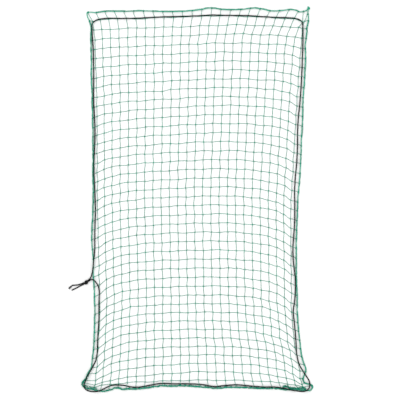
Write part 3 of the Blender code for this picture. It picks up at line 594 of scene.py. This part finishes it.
# ---- the shape of the net
def column_fractions():
    """Where each column lies, from 0 at the first to 1 at the last."""
    reach = [0.0]
    for k in range(LAST_COLUMN - 1):
        near_edge = (exp(-k / EDGE_TAPER_COLUMNS)
                     + exp(-(LAST_COLUMN - 2 - k) / EDGE_TAPER_COLUMNS))
        reach.append(reach[-1] + 1.0 - EDGE_TAPER * near_edge)
    return [r / reach[-1] for r in reach]


COLUMN_AT = column_fractions()


def clear_of_folds(y, side_of=None):
    """y kept off the folds, and on the same side of them as side_of when that is given."""
    for fold in FOLD_Y:
        if side_of is not None and (y - fold) * (side_of - fold) <= 0.0:
            y = fold
        if abs(y - fold) < FOLD_KEEP_CLEAR:
            above = (y if side_of is None else side_of) >= fold
            return fold + FOLD_KEEP_CLEAR if above else fold - FOLD_KEEP_CLEAR
    return y


def knot_position(u, v):
    """Where column u and row v cross. Row 0 and the row past the last are on the border."""
    left = read_between(LEFT_FIRST_X, v)
    right = read_between(RIGHT_LAST_X, v)
    x = left + (right - left) * COLUMN_AT[u - 1]
    if u < LAST_COLUMN:
        x += read_between(TOP_LEAN, v) * COLUMN_AT[u - 1]
    y = read_between(ROW_CENTRE_Y, v)
    y -= read_between(LEFT_DROOP, v) * exp(-(u - 1) / LEFT_DROOP_COLUMNS)
    y -= read_between(LEFT_SLOPE, v) * max(0.0, 1.0 - (u - 1) / LEFT_SLOPE_COLUMNS)
    reach = read_between(RIGHT_DROOP_COLUMNS, v)
    y -= read_between(RIGHT_DROOP, v) * exp(-(LAST_COLUMN - u) / reach)
    y += read_between(MIDDLE_RISE, v) * exp(-((u - RISE_COLUMN) / RISE_COLUMNS) ** 2)
    if v == 1 and 1 < u < LAST_COLUMN:
        y = read_between(ELASTIC_TOP, x) - FIRST_ROW_BELOW
    if 0 < v <= LAST_ROW:
        x += UNEVEN * sin(12.99 * u + 78.23 * v)
        y += UNEVEN * sin(39.35 * u + 11.14 * v + 1.7)
    return x, clear_of_folds(y)


KNOTS = {(u, v): knot_position(u, v) for v in range(1, LAST_ROW + 1)
         for u in range(1, LAST_COLUMN + 1)}

# the border rope is one loop, from its knot down the right side and round
BORDER_LOOP, _ = even_curve(
    joined([BORDER_RIGHT, BORDER_BOTTOM[::-1], BORDER_LEFT[::-1], BORDER_TOP]), 0.0016)
RIGHT_LOW = nearest(BORDER_LOOP, BORDER_BOTTOM[-5])
LEFT_LOW = nearest(BORDER_LOOP, BORDER_BOTTOM[4])
LEFT_HIGH = nearest(BORDER_LOOP, BORDER_TOP[0])
SIDE_PATHS = {
    "right": BORDER_LOOP[:RIGHT_LOW],
    "left": BORDER_LOOP[LEFT_LOW:LEFT_HIGH][::-1],
    "bottom": BORDER_LOOP[RIGHT_LOW:LEFT_LOW],
    "top": BORDER_LOOP[LEFT_HIGH:],
}

# the elastic cord runs from the knot up the left side, round, and back to the knot
ELASTIC_LOOP, ELASTIC_REACH = even_curve(
    joined([ELASTIC_LEG_UPPER[::-1], ELASTIC_LEFT[::-1], ELASTIC_TOP, ELASTIC_RIGHT,
            ELASTIC_BOTTOM[::-1], ELASTIC_RETURN[::-1], ELASTIC_LEG_LOWER[::-1]]), 0.002)


def strand_ends():
    """Every strand once: its two knots, or a knot and the place on the border rope."""
    inner = []
    outer = []
    for (u, v), (x, y) in KNOTS.items():
        for du, dv in ((1, 0), (0, 1)):
            if (u + du, v + dv) in KNOTS:
                inner.append(((u, v), (u + du, v + dv)))
        for du, dv in ((1, 0), (0, -1), (-1, 0), (0, 1)):
            other = (u + du, v + dv)
            if other in KNOTS:
                continue
            if other == (LAST_COLUMN, 0):
                side = SIDE_PATHS["right"]
                i = first_at(side, 1, CORNER_STRAND_Y)
            elif other[0] in (0, LAST_COLUMN + 1):
                side = SIDE_PATHS["left" if other[0] == 0 else "right"]
                drop = read_between(SIDE_STRAND_DROP, v)
                i = first_at(side, 1, clear_of_folds(y - drop, side_of=y))
            else:
                side = SIDE_PATHS["top" if other[1] == 0 else "bottom"]
                across, _ = knot_position(*other)
                if other[1] == 0:
                    across = min(across, TOP_LAST_X)
                i = first_at(side, 0, across)
            ahead = side[min(i + 2, len(side) - 1)] - side[max(i - 2, 0)]
            outer.append(((u, v), other, side[i], unit(ahead)))
    return inner, outer


def hitch_line(point, ahead, knot):
    """Turns of twine wound round the border rope where a strand meets it."""
    inward = np.array((-ahead[1], ahead[0]))
    if inward @ (np.array(knot) - point) < 0.0:
        inward = -inward
    turns = np.linspace(0.0, HITCH_TURNS, HITCH_POINTS)
    angle = HITCH_START + tau * turns
    shift = (turns - HITCH_TURNS / 2.0) * HITCH_PITCH
    flat = point + ahead * shift[:, None] + inward * (HITCH_RADIUS * np.cos(angle))[:, None]
    return np.column_stack((flat, BORDER_Z + HITCH_RADIUS * np.sin(angle)))


def gathered_lines():
    """Slack twine that lies in small wavy heaps beside the border rope along the bottom."""
    made = []
    for number, (route, spread, strands) in enumerate(GATHERED):
        path, reach = even_curve(route, HEAP_STEP)
        side = unit_rows(np.gradient(path, axis=0))
        side = np.column_stack((-side[:, 1], side[:, 0]))
        for k in range(strands):
            turn = tau * (reach / (HEAP_WAVE + HEAP_WAVE_RANGE * jitter(number, k, 1))
                               + 0.5 * jitter(number, k, 2))
            away = spread * (np.sin(turn) + 0.5 * np.sin(2.3 * turn + k)) / 1.5
            to_end = np.minimum(reach, reach[-1] - reach)
            away = away * np.clip(to_end / HEAP_TAPER, 0.1, 1.0)
            flat = path + side * away[:, None]
            z = (HEAP_Z + HEAP_LAYER * (k % HEAP_LAYERS)
                 + HEAP_RIPPLE * (1.0 + np.sin(1.7 * turn + number)))
            gap = np.hypot(flat[:, None, 0] - BORDER_LOOP[None, :, 0],
                           flat[:, None, 1] - BORDER_LOOP[None, :, 1]).min(axis=1)
            over = BORDER_Z + np.sqrt(np.maximum(0.0, HITCH_RADIUS ** 2 - gap ** 2))
            z = np.where(gap < HITCH_RADIUS, np.maximum(z, over), z)
            made.append(np.column_stack((flat, smoothed(z, 4))))
    return made


def lacing_lines():
    """Twine that runs along the border rope from hitch to hitch, on its outer side."""
    tangent = unit_rows(np.gradient(BORDER_LOOP, axis=0))
    outward = np.column_stack((-tangent[:, 1], tangent[:, 0]))
    stops = {nearest(BORDER_LOOP, point) for _, _, point, _ in OUTER}
    stops = sorted(stops | {LOOSE_ENDS[0], len(BORDER_LOOP) - LOOSE_ENDS[1]})
    made = []

    def lay(a, b, angle, gap):
        flat = BORDER_LOOP[a:b + 1] + outward[a:b + 1] * (gap * np.cos(angle))[:, None]
        z = np.maximum(BORDER_Z + gap * np.sin(angle), LOWEST_TWINE_Z)
        made.append(np.column_stack((flat, z)))

    for number, (a, b) in enumerate(zip(stops, stops[1:])):
        x, y = BORDER_LOOP[(a + b) // 2]
        if b - a < 4 or (abs(x) > BARE_PAST and y > BARE_ABOVE):
            continue
        t = np.linspace(0.0, 1.0, b - a + 1)
        way = np.sin(pi * t)
        swing = LACING_SIDE + LACING_SWING * jitter(number, 1, 2) * way
        swing = swing + LACING_RIPPLE * np.sin(3.0 * pi * t + number)
        slack = LACING_SLACK * (0.5 + 0.5 * jitter(number, 2, 3))
        lay(a, b, swing, HITCH_RADIUS + slack * way)
        if y < DOUBLE_BELOW:
            turn = SECOND_SIDE + tau * t * (1 if number % 2 else -1)
            slack = SECOND_SLACK * (0.6 + 0.4 * jitter(number, 5, 3))
            lay(a, b, turn, HITCH_RADIUS + slack * way)
    return made


INNER, OUTER = strand_ends()
HITCHES = [hitch_line(point, ahead, KNOTS[knot]) for knot, _, point, ahead in OUTER]
LACING = gathered_lines() + lacing_lines()


# ---- threading
def strand_crossings():
    """Where the elastic cord crosses strands, in its own order: how far along it, which
    strand, how far along that, and the sine of the angle between them."""
    step = np.diff(ELASTIC_LOOP, axis=0)
    strands = [(pair, KNOTS[pair[0]], KNOTS[pair[1]]) for pair in INNER
               if min(pair[0]) <= 2 or pair[1][0] > LAST_COLUMN - 2 or pair[1][1] > LAST_ROW - 2]
    strands += [((one, two), KNOTS[one], tuple(point)) for one, two, point, _ in OUTER]
    found = []
    for key, p, q in strands:
        d = np.array(q) - p
        gap = np.array(p) - ELASTIC_LOOP[:-1]
        cross = step[:, 0] * d[1] - step[:, 1] * d[0]
        slant = np.abs(cross) / (np.linalg.norm(step, axis=1) * hypot(d[0], d[1]))
        cross = np.where(np.abs(cross) < 1e-12, 1e-12, cross)
        t = (gap[:, 0] * d[1] - gap[:, 1] * d[0]) / cross
        w = (gap[:, 0] * step[:, 1] - gap[:, 1] * step[:, 0]) / cross
        for i in np.nonzero((t >= 0) & (t < 1) & (w > 0.02) & (w < 0.98))[0]:
            found.append((float(ELASTIC_REACH[i]), key, float(w[i]), float(slant[i])))
    return sorted(found, key=lambda item: item[0])


def least_height():
    """The lowest that the elastic cord can lie over knots, border rope and wound twine."""
    knots = np.array([(*KNOTS[u, v], KNOT_Z) for u, v in KNOTS if min(u, v) <= 3
                      or u > LAST_COLUMN - 3 or v > LAST_ROW - 3])
    rope = BORDER_PATH[::2]
    twine = np.concatenate(HITCHES + [line[::2] for line in LACING])
    in_the_way = np.concatenate((knots, rope, twine))
    sizes = np.repeat((KNOT_SIZE, BORDER_RADIUS, WOUND_TWINE_SIZE),
                      (len(knots), len(rope), len(twine)))
    touch = sizes[None, :] + ELASTIC_RADIUS + 0.0001
    need = np.full(len(ELASTIC_LOOP), ELASTIC_REST_Z)
    for chunk in range(0, len(need), 200):
        part = ELASTIC_LOOP[chunk:chunk + 200]
        gap = np.hypot(part[:, None, 0] - in_the_way[None, :, 0],
                       part[:, None, 1] - in_the_way[None, :, 1])
        lift = in_the_way[None, :, 2] + np.sqrt(np.maximum(0.0, touch ** 2 - gap ** 2))
        lift = np.where(gap < touch, lift, 0.0).max(axis=1)
        need[chunk:chunk + 200] = np.maximum(need[chunk:chunk + 200], lift)
    to_end = np.minimum(ELASTIC_REACH, ELASTIC_REACH[-1] - ELASTIC_REACH)
    return np.maximum(need, NEAR_KNOT_Z * (to_end < NEAR_KNOT))


def thread_elastic():
    """The elastic cord's path, over and under strands in turn, and for each strand that it
    passes under, how far along and how high that strand is lifted."""
    need = least_height()
    over = True
    under = []
    for reach, key, w, slant in strand_crossings():
        high = float(np.interp(reach, ELASTIC_REACH, need)) > RAISED_CORD
        if over or high or slant < SLANTED:
            over = False
            long = 1.0 / max(slant, SLANT_LEAST)
            need = np.maximum(need, ELASTIC_REST_Z + CROSSING_RISE * raised(
                ELASTIC_REACH - reach, CROSSING_FLAT * long, CROSSING_REACH * long))
        else:
            over = True
            under.append((reach, key, w))
    width = 9
    padded = np.pad(need, width, mode="edge")
    widest = np.max([padded[k:k + len(need)] for k in range(width - 2, width + 3)], axis=0)
    height = smoothed(widest, width)
    lifts = {}
    for reach, key, w in under:
        top = float(np.interp(reach, ELASTIC_REACH, height)) + ELASTIC_RADIUS + LIFT_GAP
        lifts.setdefault(key, []).append((w, top))
    return np.column_stack((ELASTIC_LOOP, height)), lifts


BORDER_PATH = np.column_stack((BORDER_LOOP, np.full(len(BORDER_LOOP), BORDER_Z)))
ELASTIC_PATH, LIFTS = thread_elastic()


# ---- netting
# name, lowest y and highest y of each piece: those named fold lie across a fold, and are left flat
ZONES = (
    ("netting_upper_end", 0.70, 9.0),
    ("netting_fold_top", 0.55, 0.70),
    ("netting_upper_panel", 0.03, 0.55),
    ("netting_fold_middle", -0.13, 0.03),
    ("netting_lower_panel", -0.57, -0.13),
    ("netting_fold_bottom", -0.70, -0.57),
    ("netting_lower_end", -9.0, -0.70),
)


def zone_of(y):
    return next(k for k, (_, low, high) in enumerate(ZONES) if low < y <= high)


def strand_line(one, two, key, points):
    """A strand between two places, a little slack, lifted where the cord runs under it."""
    t = np.linspace(0.0, 1.0, points)
    a = np.array(one)
    b = np.array(two)
    length = float(np.linalg.norm(b - a))
    side = np.array((-(b - a)[1], (b - a)[0])) / length
    u, v = key[0]
    kind = 1 if u != key[1][0] else 2
    bow = STRAND_BOW * jitter(u, v, kind) * np.sin(pi * t)
    wave = STRAND_WAVE * jitter(u, v, kind + 4) * np.sin(tau * t)
    flat = a + (b - a) * t[:, None] + side * (bow + wave)[:, None]
    if kind == 1:
        # the knots are stiff, so a strand leaves them level and drops in between
        level = 0.3 if u < LAST_COLUMN / 2 else 0.75
        flat[:, 1] += level * (b - a)[1] * (eased(t) - t)
    z = REST_Z + (KNOT_Z - REST_Z) * np.abs(2.0 * t - 1.0) ** 5
    for w, top in LIFTS.get(key, ()):
        z = np.maximum(z, REST_Z + (top - REST_Z) * raised((t - w) * length, LIFT_FLAT,
                                                           LIFT_REACH))
    return np.column_stack((flat, z)), length


def three_lobes(size, wide, rise, points):
    """A closed loop of three lobes, as an overhand knot makes."""
    t = np.linspace(0.0, tau, points)[:-1]
    return t, np.column_stack((size * wide * (np.sin(t) + 2.0 * np.sin(2.0 * t)),
                               size * (np.cos(t) - 2.0 * np.cos(2.0 * t)),
                               -rise * np.sin(3.0 * t)))


def knot_template():
    """A small tied lump: a three-lobed loop of twine pulled tight."""
    sides = 5
    radius = 0.00135
    _, loop = three_lobes(0.00082, 1.0, 0.00125, 28)
    tangent = unit_rows(np.roll(loop, -1, axis=0) - np.roll(loop, 1, axis=0))
    up = unit_rows(np.array((0.0, 0.0, 1.0)) - tangent * tangent[:, 2:3])
    side = np.cross(tangent, up)
    angle = tau * np.arange(sides) / sides
    rings = loop[:, None, :] + radius * (np.cos(angle)[None, :, None] * side[:, None, :]
                                         + np.sin(angle)[None, :, None] * up[:, None, :])
    return rings, arc_length(loop)


def build_netting():
    soups = [Soup() for _ in ZONES]
    section = three_ply(TWINE_LOBE, TWINE_VALLEY, TWINE_SIDES)

    def add_twine(line, size, middle, turned=0.0):
        reach = arc_length(line)
        twist = tau * (reach / TWINE_PITCH + turned)
        soups[zone_of(middle)].add_rings(tube_rings(line, section * size, twist), reach)

    for one, two in INNER:
        line, _ = strand_line(KNOTS[one], KNOTS[two], (one, two), STRAND_POINTS)
        add_twine(line, 1.0, 0.5 * (KNOTS[one][1] + KNOTS[two][1]), 0.5 * jitter(*one, 9))
    for (knot, other, point, _), hitch in zip(OUTER, HITCHES):
        line, length = strand_line(KNOTS[knot], hitch[0, :2], (knot, other), END_STRAND_POINTS)
        t = np.linspace(0.0, 1.0, END_STRAND_POINTS)
        climb = eased(np.clip(1.0 - (1.0 - t) * length / HITCH_CLIMB, 0.0, 1.0))
        line[:, 2] = np.maximum(line[:, 2], REST_Z + (hitch[0, 2] - REST_Z) * climb)
        add_twine(np.concatenate((line[:-1], hitch)), WOUND_SIZE,
                  0.5 * (KNOTS[knot][1] + point[1]))
    for line in LACING:
        add_twine(line, WOUND_SIZE, line[len(line) // 2, 1])
    template, around = knot_template()
    for (u, v), (x, y) in KNOTS.items():
        turn = pi * jitter(u, v, 7)
        size = 1.0 + 0.08 * jitter(u, v, 8)
        c = cos(turn) * size
        s = sin(turn) * size
        rings = template @ np.array(((c, s, 0.0), (-s, c, 0.0), (0.0, 0.0, 1.0)))
        soups[zone_of(y)].add_rings(rings + (x, y, KNOT_Z), around, closed=True)
    return {name: soup.build(name, TWINE) for (name, _, _), soup in zip(ZONES, soups)}


NETTING = build_netting()
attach(NETTING["netting_upper_end"], "net_top")
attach(NETTING["netting_upper_panel"], "net_upper")
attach(NETTING["netting_lower_panel"], "net_lower")
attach(NETTING["netting_lower_end"], "net_bottom")
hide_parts("netting_top")
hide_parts("netting_upper")
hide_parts("netting_lower")
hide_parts("netting_bottom")


# ---- the pieces at the folds: their transforms baked in, left unbent
def bend_top(piece):
    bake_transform(piece)


def bend_middle(piece):
    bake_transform(piece)


def bend_bottom(piece):
    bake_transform(piece)


bend_top(NETTING["netting_fold_top"])
bend_middle(NETTING["netting_fold_middle"])
bend_bottom(NETTING["netting_fold_bottom"])


# ---- border rope
def lay_rope(path, cuts, pieces, material, section, pitch):
    """A rope parted at the cuts. pieces has a name, a way to move and the CAD nodes of each."""
    for (name, move, *nodes), first, last in zip(pieces, cuts, cuts[1:]):
        reach = arc_length(path)[first:last + 1]
        soup = Soup()
        soup.add_rings(tube_rings(path[first:last + 1], section, tau * reach / pitch), reach)
        piece = soup.build(name, material)
        move(piece)
        if nodes:
            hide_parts(*nodes)


lay_rope(
    BORDER_PATH, [0, *cuts_at(BORDER_PATH, 0, DOWN_AND_UP), len(BORDER_PATH) - 1],
    (("border_rope_right_high", bend_top, "border_right_top"),
     ("border_rope_right_middle", bend_middle, "border_right_upper", "border_right_lower"),
     ("border_rope_low", bend_bottom, "border_right_bottom", "border_bottom",
      "border_left_bottom"),
     ("border_rope_left_middle", bend_middle, "border_left_upper", "border_left_lower"),
     ("border_rope_left_high", bend_top, "border_left_top", "border_top")),
    ROPE, three_ply(BORDER_RADIUS, BORDER_RADIUS * ROPE_VALLEY, ROPE_SIDES),
    BORDER_PITCH)


def lump_piece(name, centre, heading, size, tube, rise, section, material, ends=(),
               pair=0.0):
    """An overhand knot as a three-lobed loop along heading, doubled when pair is given, and
    the cords that run into it."""
    hx, hy = unit(heading)
    turned = np.array(((hx, hy, 0.0), (-hy, hx, 0.0), (0.0, 0.0, 1.0)))
    soup = Soup()
    for out in ((-pair, pair) if pair else (0.0,)):
        t, loop = three_lobes(size + out / 3.0, 1.12, rise, 73)
        loop[:, 2] += 0.35 * out * np.cos(3.0 * t)
        loop = loop @ turned + np.array(centre)
        closed = np.concatenate((loop[-2:], loop, loop[:2]))
        reach = arc_length(closed)
        rings = tube_rings(closed, section * tube, tau * reach / BORDER_PITCH)
        soup.add_rings(rings[2:-1], reach[2:-1], caps=False)
    for points in ends:
        path, reach = even_curve(points, 0.0015)
        soup.add_rings(tube_rings(path, section * tube, tau * reach / BORDER_PITCH), reach)
    piece = soup.build(name, material)
    return piece


cx, cy, cz = BORDER_KNOT_CENTRE
border_knot = lump_piece(
    "border_rope_knot", BORDER_KNOT_CENTRE, (0.25, 1.0), 0.0021, 0.00265, 0.0026,
    three_ply(1.0, ROPE_VALLEY, ROPE_SIDES), ROPE,
    ends=(((0.6099, 1.0368, BORDER_Z), (cx - 0.001, cy - 0.008, cz), (cx, cy, cz)),
          ((0.6010, 1.0398, BORDER_Z), (cx - 0.006, cy - 0.006, cz), (cx, cy, cz)),
          ((cx, cy, cz), (cx - 0.001, cy + 0.006, cz - 0.001),
           (cx - 0.002, cy + 0.0115, 0.0040)),
          ((cx, cy, cz), (cx + 0.003, cy + 0.004, cz - 0.001),
           (cx + 0.0065, cy + 0.0070, 0.0040))))
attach(border_knot, "net_top")
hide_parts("border_knot")


# ---- elastic cord
LEG_UPPER_START = nearest(ELASTIC_PATH, ELASTIC_LEFT[-1])
LEG_LOWER_START = nearest(ELASTIC_PATH, ELASTIC_RETURN[0])


def stretch_upper_leg(piece):
    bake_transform(piece)


def stretch_lower_leg(piece):
    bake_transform(piece)


def ride_lower(piece):
    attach(piece, "net_lower")


lay_rope(
    ELASTIC_PATH, [0, LEG_UPPER_START, *cuts_at(ELASTIC_PATH, LEG_UPPER_START, UP_AND_DOWN),
                   LEG_LOWER_START, len(ELASTIC_PATH) - 1],
    (("elastic_cord_leg_one", stretch_upper_leg, "elastic_leg_upper"),
     ("elastic_cord_left_low", ride_lower),
     ("elastic_cord_left_middle", bend_middle, "elastic_left_upper", "elastic_left_lower"),
     ("elastic_cord_high", bend_top, "elastic_left_top", "elastic_top", "elastic_right_top"),
     ("elastic_cord_right_middle", bend_middle, "elastic_right_upper", "elastic_right_lower"),
     ("elastic_cord_low", bend_bottom, "elastic_right_bottom", "elastic_bottom",
      "elastic_left_bottom", "elastic_return_lower"),
     ("elastic_cord_leg_two", stretch_lower_leg, "elastic_leg_lower")),
    BRAID, np.full(CORD_SIDES, ELASTIC_RADIUS), inf)


def coil(centre, heading, length, radius, squash, turns, lean):
    """Slanted turns of cord side by side round heading, widest at the middle of the coil."""
    t = np.linspace(-1.0, 1.0, 150)
    hx, hy = unit(heading)
    angle = pi * turns * t
    out = radius * np.sqrt(1.0 - 0.42 * t * t)
    along = 0.5 * length * t + lean * np.cos(angle)
    across = out * np.cos(angle)
    return np.column_stack((centre[0] + hx * along - hy * across,
                            centre[1] + hy * along + hx * across,
                            centre[2] + squash * out * np.sin(angle)))


kx, ky, kz = KNOT_CENTRE
elastic_knot = lump_piece(
    "elastic_cord_knot", (kx, ky, COIL_Z), KNOT_HEADING, 0.0014, 0.0030, 0.0030,
    np.ones(CORD_SIDES), BRAID, pair=0.0022,
    ends=(coil((kx, ky, COIL_Z), KNOT_HEADING, 0.0125, 0.0086, 0.50, 3.0, 0.0016),
          ((-0.6030, -0.4470, 0.0070), (-0.6065, -0.4510, 0.0070), (kx, ky, kz)),
          ((-0.6005, -0.4532, 0.0070), (-0.6060, -0.4570, 0.0070), (kx, ky, kz)),
          ((kx, ky, 0.0060), (-0.6190, -0.4600, 0.0045), (-0.6250, -0.4612, 0.0031)),
          ((kx, ky, 0.0060), (-0.6180, -0.4650, 0.0045), (-0.6235, -0.4678, 0.0031))))
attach(elastic_knot, "elastic_ends")
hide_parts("elastic_knot")


def build_tail(name, route, node):
    path, reach = even_curve([(x, y, TAIL_Z) for x, y in route], 0.0015)
    soup = Soup()
    soup.add_rings(tube_rings(path, np.full(CORD_SIDES, ELASTIC_RADIUS)), reach)
    tail = soup.build(name, BRAID)
    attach(tail, "elastic_ends")
    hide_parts(node)


def build_sleeve():
    """A crimped sleeve: straight, with two pressed grooves and a rounded far end."""
    hx, hy = unit(SLEEVE_HEADING)
    along, radii = np.array(SLEEVE_PROFILE).T
    path = np.column_stack((SLEEVE_START[0] + hx * along, SLEEVE_START[1] + hy * along,
                            np.full(len(along), SLEEVE_RADIUS)))
    rings = tube_rings(path, radii[:, None] * np.full(SLEEVE_SIDES, SLEEVE_RADIUS)[None, :])
    soup = Soup()
    soup.add_rings(rings, along)
    piece = soup.build("elastic_cord_end_sleeve", SLEEVE)
    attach(piece, "elastic_ends")
    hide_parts("elastic_end_sleeve")
    return piece


sleeve = build_sleeve()
build_tail("elastic_cord_tail_upper", TAIL_UPPER, "elastic_tail_upper")
build_tail("elastic_cord_tail_lower", TAIL_LOWER, "elastic_tail_lower")


# ---- floor, light
def make_floor():
    half = 14.0
    mesh = bpy.data.meshes.new("floor")
    mesh.from_pydata([(-half, -half, 0.0), (half, -half, 0.0), (half, half, 0.0),
                      (-half, half, 0.0)], [], [(0, 1, 2, 3)])
    floor = bpy.data.objects.new("floor", mesh)
    floor.location.z = -0.0002
    bpy.context.scene.collection.objects.link(floor)
    look = Look("floor_white")
    look.put("Base Color", (0.93, 0.93, 0.93, 1.0))
    look.put("Roughness", 0.9)
    mesh.materials.append(look.material)


def make_world():
    world = bpy.data.worlds.new("studio")
    world.use_nodes = True
    background = world.node_tree.nodes["Background"]
    background.inputs["Color"].default_value = (1.0, 1.0, 1.0, 1.0)
    background.inputs["Strength"].default_value = 0.98
    bpy.context.scene.world = world
    bpy.context.scene.view_settings.view_transform = "Standard"


def make_light(name, place, size, power):
    """A square area light that faces the middle of the net."""
    data = bpy.data.lights.new(name, "AREA")
    data.shape = "SQUARE"
    data.size = size
    data.energy = power
    light = bpy.data.objects.new(name, data)
    light.location = place
    light.rotation_euler = (-Vector(place)).to_track_quat("-Z", "Y").to_euler()
    bpy.context.scene.collection.objects.link(light)


make_floor()
make_world()
make_light("key_light", (-2.6, 2.2, 4.2), 2.4, 60.0)
make_light("fill_light", (3.0, -1.6, 3.6), 2.8, 30.0)
